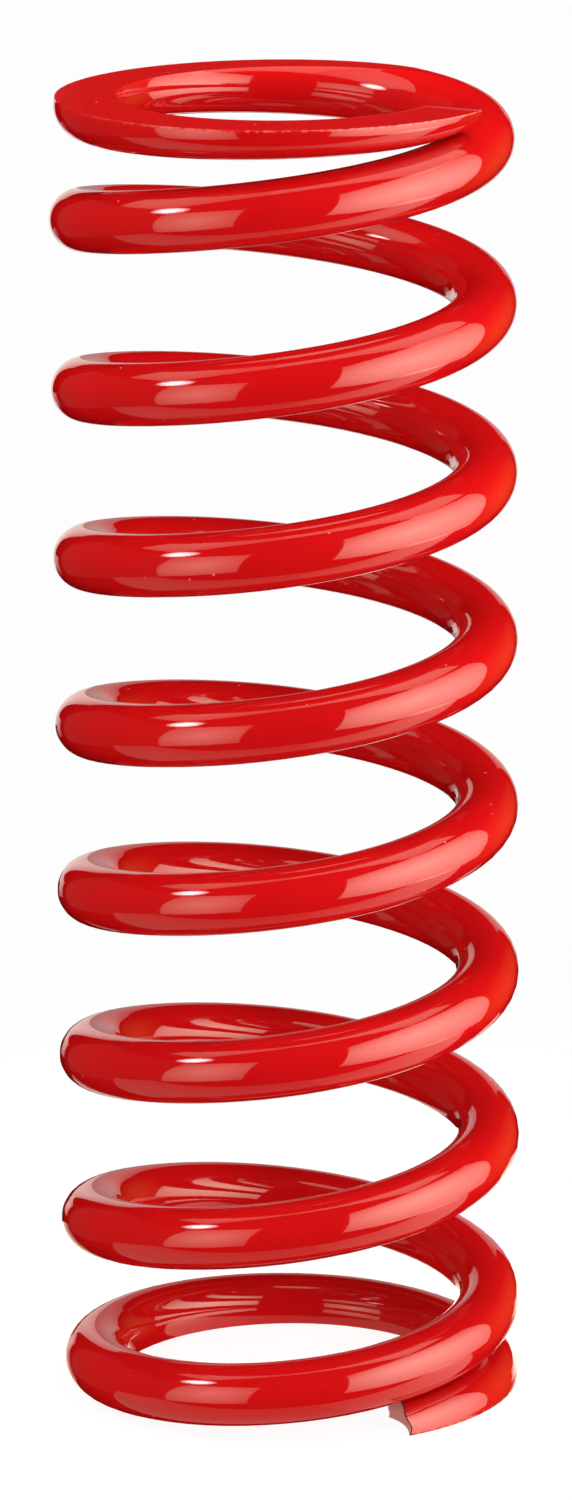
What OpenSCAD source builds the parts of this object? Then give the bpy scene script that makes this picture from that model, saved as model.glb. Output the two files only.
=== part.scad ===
// Shock absorber spring: one length of round wire wound into a right-hand coil. Both end turns
// are closed against their neighbours and ground flat. The origin is on the axis of the coil,
// on the lower ground face.

/* [Coil] */
// Inside diameter of the active turns, which slides over the spring seats
inner_d = 60; // [50:0.5:80]
// Diameter of the round wire
wire_d = 11; // [9:0.1:14]
// Free length from one ground face to the other
free_length = 233.5; // [180:0.5:280]
// Turns of wire from tip to tip
total_turns = 9.08; // [8:0.01:12]
// Direction of the lower tip round the axis, in degrees from +X
lower_tip_angle = -58; // [-180:1:180]

/* [End turns] */
// Arc of each end turn that keeps the low pitch of a closed coil, in degrees
closed_arc = 140; // [120:5:200]
// Arc over which the pitch then opens out to that of the active turns, in degrees
opening_arc = 310; // [220:5:340]
// Arc of each tip that bends up to follow the turn that it closes on, in degrees
tip_arc = 30; // [20:5:60]
// Gap between a tip and the turn that it closes on
tip_gap = 0.25; // [0.15:0.05:1]
// Thickness left at the lower tip by the grinding
lower_tip_t = 4.8; // [3:0.1:7]
// Thickness left at the upper tip by the grinding
upper_tip_t = 4; // [3:0.1:7]
// Lean of the lower cut end away from a radial line, in degrees
lower_tip_lean = 12; // [0:1:20]
// How much the radius of the lower end turn is drawn in
lower_draw_in = 0.3; // [0:0.1:2]
// How much the radius of the upper end turn is drawn in
upper_draw_in = 1; // [0:0.1:2]

/* [Fineness] */
// Facets round the wire
wire_facets = 16; // [8:4:20]
// Stations along each turn
turn_facets = 36; // [16:4:40]

/* [Hidden] */

turn = 360;
wire_r = wire_d / 2;
mean_r = inner_d / 2 + wire_r;
outer_d = inner_d + 2 * wire_d;
sweep = total_turns * turn;
half_turns = total_turns / 2;

// Heights of the wire's centre at its two tips
lower_centre = lower_tip_t - wire_r;
upper_centre = free_length - upper_tip_t + wire_r;

// Smooth step from 0 to 1, and the area under it
function eased(u) = let (c = max(0, min(1, u))) c * c * (3 - 2 * c);
function eased_sum(u) = u <= 0 ? 0 : u >= 1 ? u - 1 / 2 : pow(u, 3) - pow(u, 4) / 2;

// What an arc from the tip adds to the rise for each millimetre of pitch that the coil gains
tip_share = eased((turn - closed_arc) / opening_arc) * tip_arc / (2 * turn);
function gain_share(arc) =
    opening_arc / turn * eased_sum((arc - closed_arc) / opening_arc)
    + tip_share * (1 - pow(1 - min(1, arc / tip_arc), 2));

// One turn on from a tip the wire has just cleared it, and half way along it is half way up
closing_rise = wire_d + tip_gap;
half_rise = (upper_centre - lower_centre) / 2;
pitch_gain = (half_rise - closing_rise * half_turns)
    / (gain_share(sweep / 2) - gain_share(turn) * half_turns);
closed_pitch = closing_rise - pitch_gain * gain_share(turn);

// Rise of the centre line over an arc from the tip, and how steep it is there, per turn
function rise(arc) = closed_pitch * arc / turn + pitch_gain * gain_share(arc);
function steepness(arc) =
    closed_pitch + pitch_gain * (eased((arc - closed_arc) / opening_arc)
    + tip_share * 2 * turn / tip_arc * (1 - min(1, arc / tip_arc)));

// The centre line: the upper half is the lower half turned end for end
function height(arc) =
    arc <= sweep / 2 ? lower_centre + rise(arc) : upper_centre - rise(sweep - arc);
function end_share(arc) = 1 - eased((arc - closed_arc) / opening_arc);
function radius(arc) =
    mean_r - lower_draw_in * end_share(arc) - upper_draw_in * end_share(sweep - arc);

// Section of the wire in the plane through the axis, which a steep lead makes taller
function section(arc, lean) =
    let (r = radius(arc),
         a = lower_tip_angle + arc,
         lead = steepness(min(arc, sweep - arc)) / (2 * PI * r),
         half_h = wire_r * sqrt(1 + lead * lead))
    [for (i = [0 : wire_facets - 1])
        let (x = wire_r * cos(i * turn / wire_facets),
             y = half_h * sin(i * turn / wire_facets),
             back = x * tan(lean))
        [(r + x) * cos(a) + back * sin(a), (r + x) * sin(a) - back * cos(a), height(arc) + y]];

// Stations at even directions round the axis, with one more at each tip
step = turn / turn_facets;
first_step = ceil(lower_tip_angle / step + 1 / 2);
last_step = floor((lower_tip_angle + sweep) / step - 1 / 2);
stations = [for (k = [first_step : last_step]) k * step - lower_tip_angle];

module wire_sweep() {
    rings = concat([section(0, lower_tip_lean)],
                   [for (arc = stations) section(arc, 0)],
                   [section(sweep, 0)]);
    last = len(rings) - 1;
    corner = function (ring, i) ring * wire_facets + i % wire_facets;
    sides = [for (ring = [0 : last - 1], i = [0 : wire_facets - 1], half = [0, 1])
        half == 0
            ? [corner(ring, i), corner(ring, i + 1), corner(ring + 1, i + 1)]
            : [corner(ring, i), corner(ring + 1, i + 1), corner(ring + 1, i)]];
    lower_end = [for (i = [wire_facets - 1 : -1 : 0]) corner(0, i)];
    upper_end = [for (i = [0 : wire_facets - 1]) corner(last, i)];
    polyhedron([for (ring = rings) each ring], concat(sides, [lower_end, upper_end]));
}

// The wound wire, ground off flat at both ends
module coil_spring() {
    color("#cc1418")
    intersection() {
        wire_sweep();
        translate([-outer_d, -outer_d, 0]) cube([2 * outer_d, 2 * outer_d, free_length]);
    }
}

coil_spring();
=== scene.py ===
# Shock absorber spring: one round steel wire, wound right-hand, both ends closed and ground flat,
# powder-coated gloss red. Front is -Y, the lower ground face lies on z = 0.
import math

import bmesh
import bpy
from mathutils import Matrix, Vector


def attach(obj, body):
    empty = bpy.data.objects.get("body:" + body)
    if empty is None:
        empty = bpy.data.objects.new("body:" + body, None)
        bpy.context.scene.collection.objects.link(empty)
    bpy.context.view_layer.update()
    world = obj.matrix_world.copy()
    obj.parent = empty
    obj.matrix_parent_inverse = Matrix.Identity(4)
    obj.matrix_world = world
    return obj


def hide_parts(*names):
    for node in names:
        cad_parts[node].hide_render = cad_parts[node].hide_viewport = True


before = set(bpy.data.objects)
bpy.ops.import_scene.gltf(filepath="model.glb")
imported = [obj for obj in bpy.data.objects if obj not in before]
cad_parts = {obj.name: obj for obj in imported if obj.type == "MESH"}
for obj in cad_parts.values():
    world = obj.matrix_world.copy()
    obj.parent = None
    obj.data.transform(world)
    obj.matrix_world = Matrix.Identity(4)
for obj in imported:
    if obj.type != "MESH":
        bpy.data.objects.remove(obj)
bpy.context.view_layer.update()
scene = bpy.context.scene
mm = 0.001
print("frame loaded:", ", ".join(sorted(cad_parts)))


def linearColour(hexText):  # sRGB hex to the linear colour that a socket takes
    parts = [int(hexText[i:i + 2], 16) / 255 for i in (1, 3, 5)]
    return [c / 12.92 if c <= 0.04045 else ((c + 0.055) / 1.055) ** 2.4 for c in parts] + [1.0]


def addNode(tree, kind, inputs=(), out=0, **settings):  # one node with its settings, values and links
    node = tree.nodes.new(kind)
    for name, value in settings.items():
        setattr(node, name, value)
    for key, value in inputs.items() if isinstance(inputs, dict) else enumerate(inputs):
        if isinstance(value, bpy.types.NodeSocket):
            tree.links.new(value, node.inputs[key])
        else:
            node.inputs[key].default_value = value
    return node if out is None else node.outputs[out]


# the coat

powderCoat = {
    "red": "#bc0e11",
    "deepRed": "#b20d10",  # where the coat is a little thicker
    "groundRed": "#c20f12",  # over the ground faces
    "cutRed": "#cf8c82",  # thin coat over the sheared end, greyed by the bare steel under it
    "beadAndHighlightRed": "#e0685c",  # thin coat on the sharp edge of a ground face, painted lighter as a painted highlight
    # a dust nib, paler with a painted highlight
    "nibAndHighlightRed": "#ea8c82",
    "creaseShadeRed": "#4a0f0d",  # painted shade in the crease round the sheared end
    "gloss": 0.05,
    "groundGloss": 0.12,
    "cutGloss": 0.42,
    "cloudSize": 38.0,  # mm across a patch of thicker coat
    "peelSize": 2.6,  # mm from wave to wave of the orange peel
    "peelHeight": 0.0025,
    "nibSpacing": 4.0,  # mm between the places where a dust nib may sit
    "nibRadius": 0.3,  # drawn about twice as coarse as the real ones, or they wouldn't show
    "nibChance": 0.2,
    "nibHighlightStrength": 0.8,
    "lumpSize": 1.1,  # mm from lump to lump of the bead
    "lumpHeight": 0.12,
    "roughSize": 0.7,  # mm from tear to tear of the sheared end
}


def makePowderCoat(look):
    # polyester powder coat, sprayed dry and melted in an oven: a thick clear-looking gloss with sharp
    # reflections, a faint orange peel, a few dust nibs and, near the tips, a broken bead on the ground
    # edges;
    # the nibs and the bead are painted lighter than the coat, as painted highlights
    material = bpy.data.materials.new("redPowderCoat")
    material.use_nodes = True
    tree = material.node_tree
    tree.nodes.clear()
    place = addNode(tree, "ShaderNodeTexCoord", out=None).outputs["Object"]
    inMm = addNode(tree, "ShaderNodeVectorMath", {0: place, "Scale": 1 / mm}, operation="SCALE")
    ground = addNode(tree, "ShaderNodeAttribute", out=None, attribute_name="groundFace").outputs["Fac"]
    beadAndHighlight = addNode(tree, "ShaderNodeAttribute", out=None, attribute_name="edgeBead").outputs["Fac"]
    cut = addNode(tree, "ShaderNodeAttribute", out=None, attribute_name="cutEnd").outputs["Fac"]

    noise = {}
    for name, detail in (("cloud", 2.0), ("peel", 1.0), ("lump", 2.0), ("rough", 3.0)):
        noise[name] = addNode(tree, "ShaderNodeTexNoise",
                              {"Vector": inMm, "Scale": 1 / look[name + "Size"], "Detail": detail})

    # patches of thicker coat, and painted shade in the crease round the sheared end
    thick = addNode(tree, "ShaderNodeMapRange", [noise["cloud"], 0.35, 0.7, 0.0, 1.0])
    intoCut = addNode(tree, "ShaderNodeMapRange", [cut, 0.02, 0.2, 0.0, 0.95])
    pastCut = addNode(tree, "ShaderNodeMapRange", [cut, 0.55, 0.95, 1.0, 0.0])
    creaseShade = addNode(tree, "ShaderNodeMath", [intoCut, pastCut], operation="MULTIPLY")

    # dust nibs: round specks, one in a few of the cells, painted paler as a painted highlight
    cell = addNode(tree, "ShaderNodeTexVoronoi", {"Vector": inMm, "Scale": 1 / look["nibSpacing"]}, out=None)
    nibReach = look["nibRadius"] / look["nibSpacing"]
    speck = addNode(tree, "ShaderNodeMapRange", [cell.outputs["Distance"], 0.0, nibReach, 1.0, 0.0],
                    interpolation_type="SMOOTHSTEP")
    chosen = addNode(tree, "ShaderNodeSeparateColor", [cell.outputs["Color"]])
    chosen = addNode(tree, "ShaderNodeMath", [chosen, 1 - look["nibChance"]], operation="GREATER_THAN")
    speck = addNode(tree, "ShaderNodeMath", [speck, chosen], operation="MULTIPLY")
    nibAndHighlight = addNode(tree, "ShaderNodeMath", [speck, look["nibHighlightStrength"]], operation="MULTIPLY")

    # the bead on the ground edges is lumpy and broken; its lighter colour is partly a painted highlight
    brokenBeadHighlight = addNode(tree, "ShaderNodeMapRange", [noise["lump"], 0.44, 0.58, 0.0, 1.0])
    brokenBeadHighlight = addNode(tree, "ShaderNodeMath", [brokenBeadHighlight, beadAndHighlight], operation="MULTIPLY")

    red = linearColour(look["red"])
    for name, share in (("deepRed", thick), ("groundRed", ground), ("cutRed", cut), ("creaseShadeRed", creaseShade),
                        ("nibAndHighlightRed", nibAndHighlight), ("beadAndHighlightRed", brokenBeadHighlight)):
        red = addNode(tree, "ShaderNodeMix", {"Factor": share, 6: red, 7: linearColour(look[name])},
                      out=2, data_type="RGBA")
    gloss = addNode(tree, "ShaderNodeMapRange", [ground, 0.0, 1.0, look["gloss"], look["groundGloss"]])
    gloss = addNode(tree, "ShaderNodeMix", {"Factor": cut, 2: gloss, 3: look["cutGloss"]})

    # orange peel: low waves a few millimetres long, almost none on the ground faces
    still = addNode(tree, "ShaderNodeMath", [ground, -0.85, 1.0], operation="MULTIPLY_ADD")
    peel = addNode(tree, "ShaderNodeMath", [noise["peel"], still], operation="MULTIPLY")
    peelBump = addNode(tree, "ShaderNodeBump",
                       {"Strength": 1.0, "Distance": look["peelHeight"] * mm, "Height": peel})
    # the nibs, the lumps of the bead and the torn end stand up from it
    lump = addNode(tree, "ShaderNodeMath", [noise["lump"], beadAndHighlight], operation="MULTIPLY")
    rough = addNode(tree, "ShaderNodeMath", [noise["rough"], cut], operation="MULTIPLY")
    raised = addNode(tree, "ShaderNodeMath", [speck, 0.6, lump], operation="MULTIPLY_ADD")
    raised = addNode(tree, "ShaderNodeMath", [rough, 1.6, raised], operation="MULTIPLY_ADD")
    bumpInputs = {"Strength": 1.0, "Distance": look["lumpHeight"] * mm, "Height": raised, "Normal": peelBump}
    bump = addNode(tree, "ShaderNodeBump", bumpInputs)

    coat = addNode(tree, "ShaderNodeBsdfPrincipled",
                   {"Base Color": red, "Roughness": gloss, "Normal": bump, "IOR": 1.5, "Metallic": 0.0})
    addNode(tree, "ShaderNodeOutputMaterial", {"Surface": coat}, out=None)
    return material


coatMaterial = makePowderCoat(powderCoat)
print("material made:", coatMaterial.name)


# the coil

coil = {  # millimetres, degrees and turns: down to the lean, the sizes of the part's source
    "innerDiameter": 60.0,
    "wireDiameter": 11.0,
    "freeLength": 233.5,
    "turns": 9.08,
    "lowerTipAngle": -58.0,
    "closedArc": 140.0,
    "openingArc": 310.0,
    "tipArc": 30.0,
    "tipGap": 0.25,
    "lowerTipThickness": 4.8,
    "upperTipThickness": 4.0,
    "lowerDrawIn": 0.3,
    "upperDrawIn": 1.0,
    "lowerTipLean": 12.0,
    "shearHollow": 1.2,  # how far the foot of the sheared end stands back
    "shearWave": 0.35,  # height of the ragged wave across it
    "ringsPerTurn": 64,
    "sides": 64,
    "flatSides": 22,  # sides that make a ground face
}


def eased(u):
    c = min(max(u, 0.0), 1.0)
    return c * c * (3 - 2 * c)


def easedSum(u):
    return 0.0 if u <= 0 else u - 0.5 if u >= 1 else u ** 3 - u ** 4 / 2


def windingPitch(size):  # pitch of the closed end turns and what the active turns add, in mm a turn
    closed, opening, tip = (size[k] / 360 for k in ("closedArc", "openingArc", "tipArc"))
    wire = size["wireDiameter"]
    tipShare = eased((1 - closed) / opening)

    def share(arc):
        bent = 1 - (1 - min(1.0, arc / tip)) ** 2
        return opening * easedSum((arc - closed) / opening) + tipShare * tip / 2 * bent

    half = size["turns"] / 2
    halfRise = (size["freeLength"] - size["upperTipThickness"] - size["lowerTipThickness"] + wire) / 2
    nextTurn = wire + size["tipGap"]  # one turn on, the wire has just cleared its own tip
    gain = (halfRise - nextTurn * half) / (share(half) - share(1.0) * half)
    return nextTurn - gain * share(1.0), gain, gain * tipShare


def makeCoilTree():
    tree = bpy.data.node_groups.new("coilRule", "GeometryNodeTree")
    inputs = {
        "Float": ("Turns", "Mean Radius", "Wire Radius", "Free Length", "Start Angle", "Start Height",
                  "Closed Pitch", "Pitch Gain", "Tip Lift", "Closed Arc", "Opening Arc", "Tip Arc",
                  "Lower Draw In", "Upper Draw In"),
        "Int": ("Rings", "Sides", "Flat Sides"),
        "Material": ("Finish",),
    }
    for kind, names in inputs.items():
        for name in names:
            tree.interface.new_socket(name=name, in_out="INPUT", socket_type="NodeSocket" + kind)
    tree.interface.new_socket(name="Coil", in_out="OUTPUT", socket_type="NodeSocketGeometry")
    given = {s.name: s for s in addNode(tree, "NodeGroupInput", out=None).outputs}
    pi, turn = math.pi, 2 * math.pi
    flatOpens = (0.85, 1.6)  # turns from a tip over which the sides of the ground face spread out again
    leastHalf = 0.2  # radians, half of the narrowest band that they take up
    flatShows = (0.1, 0.4)  # radians, half of a flat that starts to count as ground, and that does in full
    beadWidth = (0.02, 0.09)  # radians from the edge of a flat
    beadRun = (0.2, 0.34)  # turns from a tip over which the bead runs out

    # how far along the wire each ring is, in turns from the lower tip
    index = addNode(tree, "GeometryNodeInputIndex")
    lastRing = addNode(tree, "ShaderNodeMath", [given["Rings"], 1.0], operation="SUBTRACT")
    step = addNode(tree, "ShaderNodeMath", [given["Turns"], lastRing], operation="DIVIDE")
    arc = addNode(tree, "ShaderNodeMath", [index, step], operation="MULTIPLY")
    rest = addNode(tree, "ShaderNodeMath", [given["Turns"], arc], operation="SUBTRACT")
    near = addNode(tree, "ShaderNodeMath", [arc, rest], operation="MINIMUM")
    midArc = addNode(tree, "ShaderNodeMath", [step, 0.5, arc], operation="MULTIPLY_ADD")
    midRest = addNode(tree, "ShaderNodeMath", [given["Turns"], midArc], operation="SUBTRACT")
    midNear = addNode(tree, "ShaderNodeMath", [midArc, midRest], operation="MINIMUM")

    # the pitch opens out from the closed ends, and the heights add up ring by ring
    openArc = addNode(tree, "ShaderNodeMath", [given["Closed Arc"], given["Opening Arc"]], operation="ADD")
    opened = addNode(tree, "ShaderNodeMapRange",
                     [midNear, given["Closed Arc"], openArc, 0.0, given["Pitch Gain"]],
                     interpolation_type="SMOOTHSTEP")
    lifted = addNode(tree, "ShaderNodeMapRange", [midNear, 0.0, given["Tip Arc"], given["Tip Lift"], 0.0])
    pitch = addNode(tree, "ShaderNodeMath", [opened, lifted], operation="ADD")
    pitch = addNode(tree, "ShaderNodeMath", [pitch, given["Closed Pitch"]], operation="ADD")
    rise = addNode(tree, "ShaderNodeMath", [pitch, step], operation="MULTIPLY")
    climbed = addNode(tree, "GeometryNodeAccumulateField", [rise], out="Trailing",
                      data_type="FLOAT", domain="POINT")
    height = addNode(tree, "ShaderNodeMath", [climbed, given["Start Height"]], operation="ADD")

    # the end turns are drawn in a little
    lowerIn = addNode(tree, "ShaderNodeMapRange",
                      [arc, given["Closed Arc"], openArc, given["Lower Draw In"], 0.0],
                      interpolation_type="SMOOTHSTEP")
    upperIn = addNode(tree, "ShaderNodeMapRange",
                      [rest, given["Closed Arc"], openArc, given["Upper Draw In"], 0.0],
                      interpolation_type="SMOOTHSTEP")
    radius = addNode(tree, "ShaderNodeMath", [given["Mean Radius"], lowerIn], operation="SUBTRACT")
    radius = addNode(tree, "ShaderNodeMath", [radius, upperIn], operation="SUBTRACT")
    angle = addNode(tree, "ShaderNodeMath", [arc, turn, given["Start Angle"]], operation="MULTIPLY_ADD")
    cosine = addNode(tree, "ShaderNodeMath", [angle], operation="COSINE")
    sine = addNode(tree, "ShaderNodeMath", [angle], operation="SINE")
    outward = addNode(tree, "ShaderNodeCombineXYZ", [cosine, sine, 0.0])
    upright = addNode(tree, "ShaderNodeCombineXYZ", [0.0, 0.0, height])
    centre = addNode(tree, "ShaderNodeVectorMath", {0: outward, "Scale": radius}, operation="SCALE")
    centre = addNode(tree, "ShaderNodeVectorMath", [centre, upright], operation="ADD")

    # a steep wire is taller where the plane through the axis cuts it
    girth = addNode(tree, "ShaderNodeMath", [radius, turn], operation="MULTIPLY")
    lead = addNode(tree, "ShaderNodeMath", [pitch, girth], operation="DIVIDE")
    stretch = addNode(tree, "ShaderNodeMath", [lead, lead, 1.0], operation="MULTIPLY_ADD")
    stretch = addNode(tree, "ShaderNodeMath", [stretch], operation="SQRT")

    # where the grinding cuts the section: half the angle of the flat, seen from the wire's centre
    above = addNode(tree, "ShaderNodeMath", [given["Free Length"], height], operation="SUBTRACT")
    gap = addNode(tree, "ShaderNodeMath", [height, above], operation="MINIMUM")
    gap = addNode(tree, "ShaderNodeMath", [gap, stretch], operation="DIVIDE")
    depth = addNode(tree, "ShaderNodeMath", [gap, given["Wire Radius"]], operation="DIVIDE")
    depth = addNode(tree, "ShaderNodeClamp", [depth, -1.0, 1.0])
    cutAngle = addNode(tree, "ShaderNodeMath", [depth], operation="ARCCOSINE")
    flatAngle = addNode(tree, "ShaderNodeMath", [given["Flat Sides"], given["Sides"]], operation="DIVIDE")
    flatAngle = addNode(tree, "ShaderNodeMath", [flatAngle, pi], operation="MULTIPLY")
    leastAngle = addNode(tree, "ShaderNodeMapRange", [near, *flatOpens, leastHalf, flatAngle],
                         interpolation_type="SMOOTHSTEP")
    faceAngle = addNode(tree, "ShaderNodeMath", [cutAngle, leastAngle], operation="MAXIMUM")
    halfTurns = addNode(tree, "ShaderNodeMath", [given["Turns"], 0.5], operation="MULTIPLY")
    upperHalf = addNode(tree, "ShaderNodeMath", [arc, halfTurns], operation="GREATER_THAN")

    line = addNode(tree, "GeometryNodeMeshLine", {"Count": given["Rings"]})
    kept = addNode(tree, "GeometryNodeCaptureAttribute", out=None, domain="POINT")
    ringFields = (("centre", "VECTOR", centre), ("outward", "VECTOR", outward),
                  ("stretch", "FLOAT", stretch), ("gap", "FLOAT", gap),
                  ("cutAngle", "FLOAT", cutAngle), ("faceAngle", "FLOAT", faceAngle),
                  ("upperHalf", "FLOAT", upperHalf), ("fromTip", "FLOAT", near))
    for name, kind, field in ringFields:
        kept.capture_items.new(kind, name)
        tree.links.new(field, kept.inputs[name])
    tree.links.new(line, kept.inputs["Geometry"])
    ring = {name: kept.outputs[name] for name, kind, field in ringFields}
    path = addNode(tree, "GeometryNodeSetPosition",
                   {"Geometry": kept.outputs["Geometry"], "Position": ring["centre"]})
    path = addNode(tree, "GeometryNodeMeshToCurve", {"Mesh": path})
    circle = addNode(tree, "GeometryNodeCurvePrimitiveCircle",
                     {"Resolution": given["Sides"], "Radius": given["Wire Radius"]}, mode="RADIUS")
    counted = addNode(tree, "GeometryNodeCaptureAttribute", out=None, domain="POINT")
    counted.capture_items.new("FLOAT", "side")
    tree.links.new(addNode(tree, "GeometryNodeInputIndex"), counted.inputs["side"])
    tree.links.new(circle, counted.inputs["Geometry"])
    wire = addNode(tree, "GeometryNodeCurveToMesh",
                   {"Curve": path, "Profile Curve": counted.outputs["Geometry"], "Fill Caps": False})

    # each side's angle from straight down, or from straight up in the upper half
    around = addNode(tree, "ShaderNodeMath", [counted.outputs["side"], given["Sides"]], operation="DIVIDE")
    around = addNode(tree, "ShaderNodeMath", [around, turn, -pi], operation="MULTIPLY_ADD")
    across = addNode(tree, "ShaderNodeMath", [around, pi], operation="ADD")
    across = addNode(tree, "ShaderNodeMath", [across, pi, -pi], operation="WRAP")
    around = addNode(tree, "GeometryNodeSwitch",
                     {"Switch": ring["upperHalf"], "False": around, "True": across}, input_type="FLOAT")
    size = addNode(tree, "ShaderNodeMath", [around], operation="ABSOLUTE")
    hand = addNode(tree, "ShaderNodeMath", [around], operation="SIGN")
    flatLimit = addNode(tree, "ShaderNodeMath", [flatAngle, 0.001], operation="ADD")
    onFlat = addNode(tree, "ShaderNodeMath", [size, flatLimit], operation="LESS_THAN")

    # on the ground face: across the chord, no lower than the plane
    wireRadius = given["Wire Radius"]
    share = addNode(tree, "ShaderNodeMath", [around, flatAngle], operation="DIVIDE")
    chord = addNode(tree, "ShaderNodeMath", [ring["faceAngle"]], operation="SINE")
    chord = addNode(tree, "ShaderNodeMath", [chord, wireRadius], operation="MULTIPLY")
    spread = addNode(tree, "ShaderNodeMath", [ring["faceAngle"], math.radians(80)], operation="MINIMUM")
    swing = addNode(tree, "ShaderNodeMath", [share, spread], operation="MULTIPLY")
    swing = addNode(tree, "ShaderNodeMath", [swing], operation="SINE")
    spreadSine = addNode(tree, "ShaderNodeMath", [spread], operation="SINE")
    swing = addNode(tree, "ShaderNodeMath", [swing, spreadSine], operation="DIVIDE")
    flatX = addNode(tree, "ShaderNodeMath", [swing, chord], operation="MULTIPLY")
    radiusSquare = addNode(tree, "ShaderNodeMath", [wireRadius, wireRadius], operation="MULTIPLY")
    flatSquare = addNode(tree, "ShaderNodeMath", [flatX, flatX], operation="MULTIPLY")
    roundY = addNode(tree, "ShaderNodeMath", [radiusSquare, flatSquare], operation="SUBTRACT")
    roundY = addNode(tree, "ShaderNodeMath", [roundY, 0.0], operation="MAXIMUM")
    roundY = addNode(tree, "ShaderNodeMath", [roundY], operation="SQRT")
    roundY = addNode(tree, "ShaderNodeMath", [roundY, -1.0], operation="MULTIPLY")
    planeY = addNode(tree, "ShaderNodeMath", [ring["gap"], -1.0], operation="MULTIPLY")
    flatY = addNode(tree, "ShaderNodeMath", [roundY, planeY], operation="MAXIMUM")

    # on the round of the wire
    past = addNode(tree, "ShaderNodeMath", [size, flatAngle], operation="SUBTRACT")
    room = addNode(tree, "ShaderNodeMath", [pi, flatAngle], operation="SUBTRACT")
    past = addNode(tree, "ShaderNodeMath", [past, room], operation="DIVIDE")
    roundRoom = addNode(tree, "ShaderNodeMath", [pi, ring["faceAngle"]], operation="SUBTRACT")
    roundAngle = addNode(tree, "ShaderNodeMath", [past, roundRoom, ring["faceAngle"]],
                         operation="MULTIPLY_ADD")
    arcX = addNode(tree, "ShaderNodeMath", [roundAngle], operation="SINE")
    arcX = addNode(tree, "ShaderNodeMath", [arcX, hand], operation="MULTIPLY")
    arcX = addNode(tree, "ShaderNodeMath", [arcX, wireRadius], operation="MULTIPLY")
    arcY = addNode(tree, "ShaderNodeMath", [roundAngle], operation="COSINE")
    arcY = addNode(tree, "ShaderNodeMath", [arcY, wireRadius], operation="MULTIPLY")
    arcY = addNode(tree, "ShaderNodeMath", [arcY, -1.0], operation="MULTIPLY")

    sectionX = addNode(tree, "GeometryNodeSwitch", {"Switch": onFlat, "False": arcX, "True": flatX},
                       input_type="FLOAT")
    sectionY = addNode(tree, "GeometryNodeSwitch", {"Switch": onFlat, "False": arcY, "True": flatY},
                       input_type="FLOAT")
    # 1 in the lower half, and -1 in the upper half, which is turned end for end
    turned = addNode(tree, "ShaderNodeMath", [ring["upperHalf"], -2.0, 1.0], operation="MULTIPLY_ADD")
    sectionX = addNode(tree, "ShaderNodeMath", [sectionX, turned], operation="MULTIPLY")
    sectionY = addNode(tree, "ShaderNodeMath", [sectionY, turned], operation="MULTIPLY")
    sectionY = addNode(tree, "ShaderNodeMath", [sectionY, ring["stretch"]], operation="MULTIPLY")
    aside = addNode(tree, "ShaderNodeVectorMath", {0: ring["outward"], "Scale": sectionX},
                    operation="SCALE")
    upright = addNode(tree, "ShaderNodeCombineXYZ", [0.0, 0.0, sectionY])
    place = addNode(tree, "ShaderNodeVectorMath", [ring["centre"], aside], operation="ADD")
    place = addNode(tree, "ShaderNodeVectorMath", [place, upright], operation="ADD")
    wire = addNode(tree, "GeometryNodeSetPosition", {"Geometry": wire, "Position": place})

    # what the finish needs to know: the ground faces and the beads along their edges, which also carry a
    # painted highlight
    isCut = addNode(tree, "ShaderNodeMapRange", [ring["cutAngle"], *flatShows, 0.0, 1.0])
    groundFace = addNode(tree, "ShaderNodeMath", [onFlat, isCut], operation="MULTIPLY")
    fromEdge = addNode(tree, "ShaderNodeMath", [size, flatAngle], operation="SUBTRACT")
    fromEdge = addNode(tree, "ShaderNodeMath", [fromEdge], operation="ABSOLUTE")
    edgeBead = addNode(tree, "ShaderNodeMapRange", [fromEdge, *beadWidth, 1.0, 0.0])
    edgeBead = addNode(tree, "ShaderNodeMath", [edgeBead, isCut], operation="MULTIPLY")
    sharp = addNode(tree, "ShaderNodeMapRange", [ring["fromTip"], *beadRun, 1.0, 0.0])
    blunt = addNode(tree, "ShaderNodeMath", [1.0, sharp], operation="SUBTRACT")
    bare = addNode(tree, "ShaderNodeMath", [edgeBead, blunt], operation="MULTIPLY")
    bare = addNode(tree, "ShaderNodeMath", [bare, 0.3], operation="GREATER_THAN")
    edgeBead = addNode(tree, "ShaderNodeMath", [edgeBead, sharp], operation="MULTIPLY")
    for name, field in (("groundFace", groundFace), ("edgeBead", edgeBead)):
        wire = addNode(tree, "GeometryNodeStoreNamedAttribute",
                       {"Geometry": wire, "Name": name, "Value": field}, data_type="FLOAT", domain="POINT")
    wire = addNode(tree, "GeometryNodeSetShadeSmooth", {"Geometry": wire})
    # an edge with no bead on it catches no light
    wire = addNode(tree, "GeometryNodeSetShadeSmooth",
                   {"Geometry": wire, "Selection": bare, "Shade Smooth": False}, domain="EDGE")
    wire = addNode(tree, "GeometryNodeRealizeInstances", {"Geometry": wire})
    wire = addNode(tree, "GeometryNodeSetMaterial", {"Geometry": wire, "Material": given["Finish"]})
    addNode(tree, "NodeGroupOutput", {"Coil": wire}, out=None)
    return tree


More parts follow.
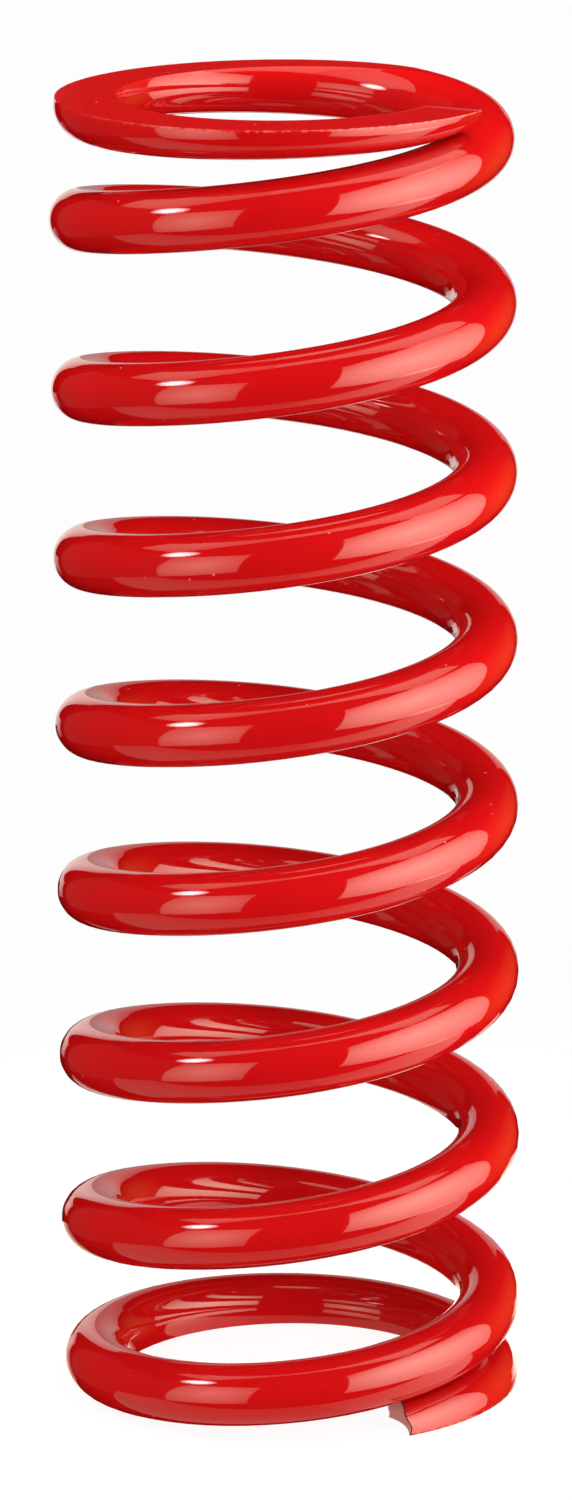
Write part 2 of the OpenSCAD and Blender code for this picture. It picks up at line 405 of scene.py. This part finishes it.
def closeTip(bm, ringVerts, nextVerts, inset, shape):  # rounds a cut end and closes it, ring within ring
    ground = bm.verts.layers.float["groundFace"]
    beadAndHighlight = bm.verts.layers.float["edgeBead"]
    cut = bm.verts.layers.float["cutEnd"]
    count = len(ringVerts)
    middle = sum((v.co for v in ringVerts), Vector()) / count
    flat = [v.co.copy() for v in ringVerts]
    edgeFaces = set(f for v in ringVerts for f in v.link_faces)
    bmesh.ops.delete(bm, geom=list(edgeFaces), context="FACES_ONLY")
    loops = [nextVerts]
    for back, share, cutShare in inset:  # mm back from the end, share of the section, share of cut face
        made = []
        for v, end, after in zip(ringVerts, flat, nextVerts):
            along = (after.co - end).normalized()
            co = middle + (end - middle) * share + along * back * mm
            new = bm.verts.new(co + shape(end, middle, share))
            new[ground] = v[ground] if cutShare < 0.5 else 0.0
            new[beadAndHighlight] = v[beadAndHighlight] if cutShare < 0.5 else 0.0
            new[cut] = cutShare
            made.append(new)
        loops.append(made)
    for a, b in zip(loops, loops[1:]):
        for k in range(count):
            bm.faces.new((a[k], a[(k + 1) % count], b[(k + 1) % count], b[k]))
    top = bm.verts.new(middle + shape(middle, middle, 0.0))
    top[cut] = 1.0
    for k in range(count):
        bm.faces.new((loops[-1][k], loops[-1][(k + 1) % count], top))
    bmesh.ops.delete(bm, geom=ringVerts, context="VERTS")


def makeCoil(size, material):
    closedPitch, gain, tipLift = windingPitch(size)
    wire = size["wireDiameter"]
    rings = round(size["turns"] * size["ringsPerTurn"]) + 1
    values = {
        "Turns": size["turns"],
        "Mean Radius": (size["innerDiameter"] + wire) / 2 * mm,
        "Wire Radius": wire / 2 * mm,
        "Free Length": size["freeLength"] * mm,
        "Start Angle": math.radians(size["lowerTipAngle"]),
        "Start Height": (size["lowerTipThickness"] - wire / 2) * mm,
        "Closed Pitch": closedPitch * mm,
        "Pitch Gain": gain * mm,
        "Tip Lift": tipLift * mm,
        "Closed Arc": size["closedArc"] / 360,
        "Opening Arc": size["openingArc"] / 360,
        "Tip Arc": size["tipArc"] / 360,
        "Lower Draw In": size["lowerDrawIn"] * mm,
        "Upper Draw In": size["upperDrawIn"] * mm,
        "Rings": rings,
        "Sides": size["sides"],
        "Flat Sides": size["flatSides"],
        "Finish": material,
    }
    tree = makeCoilTree()
    blank = bpy.data.objects.new("coilBlank", bpy.data.meshes.new("coilBlank"))
    scene.collection.objects.link(blank)
    modifier = blank.modifiers.new("coilRule", "NODES")
    modifier.node_group = tree
    for item in tree.interface.items_tree:
        if item.in_out == "INPUT":
            modifier[item.identifier] = values[item.name]
    graph = bpy.context.evaluated_depsgraph_get()
    mesh = bpy.data.meshes.new_from_object(blank.evaluated_get(graph), depsgraph=graph)
    blank.modifiers.remove(modifier)
    bpy.data.objects.remove(blank)
    print("coil wound:", len(mesh.vertices), "points, pitch", round(closedPitch + gain, 2), "mm, end turns",
          round(closedPitch, 2), "mm")

    bm = bmesh.new()
    bm.from_mesh(mesh)
    bm.verts.layers.float.new("cutEnd")
    sides = size["sides"]
    verts = list(bm.verts)
    angle = math.radians(size["lowerTipAngle"])
    outward = Vector((math.cos(angle), math.sin(angle), 0))
    along = Vector((-math.sin(angle), math.cos(angle), 0))
    wireRadius, tipHeight = wire / 2 * mm, size["lowerTipThickness"] * mm

    def shearedEnd(end, middle, share):  # leans back to the inside, with the ragged wave of a shear
        spot = middle + (end - middle) * share
        across = ((spot - outward * (size["innerDiameter"] + wire) / 2 * mm).dot(outward)) / wireRadius
        high = spot.z / tipHeight
        lean = -across * wireRadius * math.tan(math.radians(size["lowerTipLean"]))
        under = size["shearHollow"] * mm * max(0.0, 1 - across * across) * max(0.0, 1 - high) ** 2
        wave = size["shearWave"] * mm * math.cos(2 * math.pi * (1 - high) / 0.8 + 0.6 * across)
        return along * (lean + under + wave)

    cutRings = ((0.45, 1.0, 0.0), (0.14, 0.985, 0.35), (0.0, 0.94, 1.0), (0.0, 0.7, 1.0), (0.0, 0.35, 1.0))
    closeTip(bm, verts[:sides], verts[sides:2 * sides], cutRings, shearedEnd)
    thinRings = ((0.45, 1.0, 0.0), (0.14, 0.985, 0.0), (0.0, 0.94, 0.0), (0.0, 0.5, 0.0))
    closeTip(bm, verts[-sides:], verts[-2 * sides:-sides], thinRings, lambda end, middle, share: Vector())
    bmesh.ops.recalc_face_normals(bm, faces=bm.faces)
    for face in bm.faces:
        face.smooth = True
    bm.to_mesh(mesh)
    bm.free()
    mesh.name = "coilSpring"
    if not mesh.materials:
        mesh.materials.append(material)
    piece = bpy.data.objects.new("coilSpring", mesh)
    scene.collection.objects.link(piece)
    return piece


coilSpring = makeCoil(coil, coatMaterial)
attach(coilSpring, "root")
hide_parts("coil_spring")
print("coil finished:", len(coilSpring.data.polygons), "faces")


# the floor, seen by the camera alone, so that the coat mirrors the panels and not the whole floor

floorLook = {"size": 2.0, "white": "#fbfbfb", "ownLight": 0.9, "glow": 1.06, "fade": (0.06, 0.3)}


def makeFloor(look):
    material = bpy.data.materials.new("paleFloor")
    material.use_nodes = True
    tree = material.node_tree
    tree.nodes.clear()
    white = linearColour(look["white"])
    matt = addNode(tree, "ShaderNodeBsdfDiffuse", {"Color": white})
    glow = addNode(tree, "ShaderNodeEmission", {"Color": white, "Strength": look["glow"]})
    mixed = addNode(tree, "ShaderNodeMixShader", [look["ownLight"], matt, glow])
    # it fades into the backdrop at some distance from the coil
    place = addNode(tree, "ShaderNodeTexCoord", out=None).outputs["Object"]
    away = addNode(tree, "ShaderNodeVectorMath", [place], out="Value", operation="LENGTH")
    fade = addNode(tree, "ShaderNodeMapRange", [away, *look["fade"], 0.0, 1.0],
                   interpolation_type="SMOOTHSTEP")
    clear = addNode(tree, "ShaderNodeBsdfTransparent")
    mixed = addNode(tree, "ShaderNodeMixShader", [fade, mixed, clear])
    addNode(tree, "ShaderNodeOutputMaterial", {"Surface": mixed}, out=None)
    bm = bmesh.new()
    bmesh.ops.create_grid(bm, x_segments=1, y_segments=1, size=look["size"] / 2)
    mesh = bpy.data.meshes.new("floor")
    bm.to_mesh(mesh)
    bm.free()
    mesh.materials.append(material)
    floor = bpy.data.objects.new("floor", mesh)
    scene.collection.objects.link(floor)
    floor.visible_glossy = floor.visible_diffuse = floor.visible_shadow = False
    return floor


makeFloor(floorLook)


# the light: one set of panels for the coat to mirror, and an even wash for its colour

panels = {  # metres: middle, the point that it faces and size; radiance at its heart and at the reach; tint;
    # the share of its light that reaches the colour under the gloss; degrees of spread, if it has a grid
    "rightBox": {
        "at": (0.417, -0.170, 0.2425), "facing": (0.0, 0.0, 0.2425), "size": (0.84, 0.73),
        "glow": (8.3, 2.2), "heart": (-0.06, -0.02), "reach": 0.6, "tint": "#fff5e2", "wash": 0.36,
    },
    "leftBox": {
        "at": (-0.453, -0.477, 0.168), "facing": (0.0, 0.0, 0.168), "size": (0.51, 0.71),
        "glow": (3.8, 1.4), "heart": (0.0, 0.03), "reach": 0.6, "tint": "#fff3de", "wash": 0.88,
    },
    "smallLamp": {
        "at": (-0.432, -0.186, 0.49), "facing": (-0.02, -0.03, 0.12), "size": (0.18, 0.15),
        "glow": (38.0, 0.0), "heart": (0.0, 0.0), "reach": 0.55, "tint": "#ffffff", "wash": 0.72,
    },
    "overheadLeft": {
        "at": (-0.165, -0.005, 0.41), "facing": (-0.165, -0.005, 0.0), "size": (0.25, 0.20),
        "glow": (2.1, 1.2), "heart": (0.0, 0.0), "reach": 0.6, "tint": "#fff3e0", "wash": 1.08,
    },
    "overheadRight": {
        "at": (0.115, -0.005, 0.41), "facing": (0.115, -0.005, 0.0), "size": (0.31, 0.20),
        "glow": (2.8, 1.9), "heart": (0.0, 0.0), "reach": 0.6, "tint": "#fff3e0", "wash": 1.08,
    },
    "tableLeft": {
        "at": (-0.27, -0.08, -0.165), "facing": (-0.27, -0.08, 0.2), "size": (0.66, 0.30),
        "glow": (0.74, 0.52), "heart": (0.0, 0.0), "reach": 0.6, "tint": "#fff0dc", "wash": 1.06,
    },
    "tableRight": {
        "at": (0.35, -0.055, -0.165), "facing": (0.35, -0.055, 0.2), "size": (0.58, 0.31),
        "glow": (3.2, 0.8), "heart": (-0.5, 0.0), "reach": 1.0, "tint": "#fff0dc", "wash": 0.4,
    },
    "standBack": {
        "at": (0.0, 0.12, -0.035), "facing": (0.0, 0.0, -0.003), "size": (0.30, 0.05), "spread": 60.0,
        "glow": (3.0, 2.0), "heart": (0.0, 0.0), "reach": 0.6, "tint": "#fff0dc", "wash": 0.0,
    },
    "standRight": {
        "at": (0.095, 0.15, -0.025), "facing": (0.04, 0.0, 0.0), "size": (0.08, 0.03), "spread": 70.0,
        "glow": (2.6, 1.6), "heart": (0.0, 0.0), "reach": 0.6, "tint": "#fff0dc", "wash": 0.0,
    },
    "tableBack": {
        "at": (0.02, 0.60, -0.15), "facing": (0.02, 0.0, -0.15), "size": (0.13, 0.10),
        "glow": (2.4, 1.6), "heart": (0.0, 0.0), "reach": 0.6, "tint": "#fff8f0", "wash": 1.0,
    },
    "wallLeft": {
        "at": (-0.135, 0.60, 0.14), "facing": (-0.135, 0.0, 0.14), "size": (0.16, 0.32),
        "glow": (1.15, 0.75), "heart": (0.0, -0.1), "reach": 0.7, "tint": "#fff8f0", "wash": 1.0,
    },
    "wallLow": {
        "at": (-0.265, 0.60, -0.02), "facing": (-0.04, 0.0, 0.01), "size": (0.12, 0.14), "spread": 36.0,
        "glow": (1.4, 0.8), "heart": (0.0, 0.0), "reach": 0.6, "tint": "#fff8f0", "wash": 1.0,
    },
    "wallRight": {
        "at": (0.0625, 0.60, 0.12), "facing": (0.0625, 0.0, 0.12), "size": (0.295, 0.34),
        "glow": (0.7, 0.3), "heart": (-0.2, -0.05), "reach": 0.7, "tint": "#fff8f0", "wash": 1.0,
    },
    "roomLeft": {
        "at": (-1.2, 0.25, 0.2), "facing": (0.0, 0.0, 0.12), "size": (2.4, 1.6),
        "glow": (0.07, 0.07), "heart": (0.0, 0.0), "reach": 0.6, "tint": "#fff3e0", "wash": 1.0,
    },
    "warmCard": {
        "at": (0.76, 0.55, 0.10), "facing": (0.0, 0.0, 0.10), "size": (1.2, 1.2),
        "glow": (0.55, 0.0), "heart": (0.0, 0.0), "reach": 0.5, "tint": "#ffb45a", "wash": 1.0,
    },
}


def addPanel(name, look, back):
    light = bpy.data.lights.new(name, "AREA")
    light.shape = "RECTANGLE"
    light.size, light.size_y = look["size"]
    bright, dim = look["glow"]
    half = math.radians(look.get("spread", 180.0)) / 2
    light.spread = half * 2
    gathered = 1.0 if half > 1.5 else 1 - half / math.tan(half)  # a grid in front gathers the light
    light.energy = math.pi * light.size * light.size_y * bright * gathered  # radiance times pi times area
    light.use_nodes = True
    tree = light.node_tree
    tree.nodes.clear()
    place = addNode(tree, "ShaderNodeNewGeometry", out=None).outputs["Parametric"]
    heart = (0.5 + look["heart"][0], 0.5 + look["heart"][1], 0.0)
    place = addNode(tree, "ShaderNodeVectorMath", [place, heart], operation="SUBTRACT")
    away = addNode(tree, "ShaderNodeVectorMath", [place], out="Value", operation="LENGTH")
    fall = addNode(tree, "ShaderNodeMapRange", [away, 0.0, look["reach"], 1.0, dim / bright])
    glow = addNode(tree, "ShaderNodeEmission", {"Color": linearColour(look["tint"]), "Strength": fall})
    addNode(tree, "ShaderNodeOutputLight", {"Surface": glow}, out=None)
    lamp = bpy.data.objects.new(name, light)
    toward = (Vector(look["facing"]) - Vector(look["at"])).normalized()
    lamp.location = Vector(look["at"]) - toward * back
    lamp.rotation_euler = toward.to_track_quat("-Z", "Y").to_euler()
    lamp.visible_camera = False
    scene.collection.objects.link(lamp)
    return lamp


for panelName, panelLook in panels.items():
    mirrored = addPanel(panelName, panelLook, 0.0)
    mirrored.visible_diffuse = False
    if panelLook["wash"]:
        # a little behind, as two lamps in one place hide each other
        washing = addPanel(panelName + "Wash", panelLook, 0.005)
        washing.visible_glossy = False
        washing.data.energy *= panelLook["wash"]

wash = {  # azimuth from the front to the right, height above the horizon, strength
    "topWash": (40.0, 58.0, 1.04),
    "lowWash": (80.0, -32.0, 1.34),
    "backWash": (180.0, 20.0, 1.6),  # keeps the far side from going dark
}
room = {
    "softness": 75.0,  # degrees across each wash
    "sky": 0.33,
    "white": "#fdfdfd",
    "whiteWay": (0.0, 0.972, -0.236),  # from the front of the coil to the backdrop behind it
    "whiteEdge": (0.82, 0.97),  # cosines of the angles from it between which the white fades
    "grey": "#d6d6d6",
}


def addWash(name, azimuth, height, strength):
    sun = bpy.data.lights.new(name, "SUN")
    sun.energy = strength
    sun.angle = math.radians(room["softness"])
    lamp = bpy.data.objects.new(name, sun)
    a, h = math.radians(azimuth), math.radians(height)
    source = Vector((math.sin(a) * math.cos(h), -math.cos(a) * math.cos(h), math.sin(h)))
    lamp.rotation_euler = source.to_track_quat("Z", "Y").to_euler()
    lamp.visible_glossy = False
    scene.collection.objects.link(lamp)


def addRoom(look):  # even light for colour, nothing to mirror, and a backdrop that is white behind the coil
    world = bpy.data.worlds.new("studio")
    scene.world = world
    world.use_nodes = True
    world.cycles_visibility.glossy = False
    tree = world.node_tree
    tree.nodes.clear()
    sky = addNode(tree, "ShaderNodeBackground", {"Color": linearColour("#ffffff"), "Strength": look["sky"]})
    direction = addNode(tree, "ShaderNodeTexCoord", out=None).outputs["Generated"]
    behind = addNode(tree, "ShaderNodeVectorMath", [direction, look["whiteWay"]], out="Value",
                     operation="DOT_PRODUCT")
    behind = addNode(tree, "ShaderNodeMapRange", [behind, *look["whiteEdge"], 0.0, 1.0],
                     interpolation_type="SMOOTHSTEP")
    # a pale grey elsewhere, where bright edges have to stand out
    tone = addNode(tree, "ShaderNodeMix",
                   {"Factor": behind, 6: linearColour(look["grey"]), 7: linearColour(look["white"])},
                   out=2, data_type="RGBA")
    white = addNode(tree, "ShaderNodeBackground", {"Color": tone, "Strength": 1.0})
    seen = addNode(tree, "ShaderNodeLightPath", out="Is Camera Ray")
    mixed = addNode(tree, "ShaderNodeMixShader", [seen, sky, white])
    addNode(tree, "ShaderNodeOutputWorld", {"Surface": mixed}, out=None)


for washName, washLook in wash.items():
    addWash(washName, *washLook)
addRoom(room)
scene.view_settings.view_transform = "Standard"
print("studio lit:", len(panels), "panels")


# the camera, fitted to the outline in the photograph

view = {  # millimetres, degrees, and pixels of the photograph
    "distance": 1409.4,
    "height": 459.4,
    "aside": 0.4,
    "pitch": 10.904,
    "roll": -0.438,
    "focal": 8169.4,
    "frameHeight": 1500,
    # the lens was shifted: the frame lies below its axis, here by as much as keeps other views in frame
    "drop": 400.0,
}


def addCamera(look):
    data = bpy.data.cameras.new("camera")
    data.sensor_width = 36.0
    # the sensor's width spans the frame's long side
    data.lens = look["focal"] / look["frameHeight"] * data.sensor_width
    data.shift_y = -look["drop"] / look["frameHeight"]
    data.clip_start, data.clip_end = 0.05, 50.0
    camera = bpy.data.objects.new("camera", data)
    camera.location = (look["aside"] * mm, -look["distance"] * mm, look["height"] * mm)
    p, r = math.radians(look["pitch"]), math.radians(look["roll"])
    forward = Vector((0, math.cos(p), -math.sin(p)))
    right = Vector((1, 0, 0))
    up = right.cross(forward)
    up = up * math.cos(r) - right * math.sin(r)
    right = forward.cross(up)
    camera.rotation_euler = Matrix((right, up, -forward)).transposed().to_euler()
    scene.collection.objects.link(camera)
    scene.camera = camera


addCamera(view)
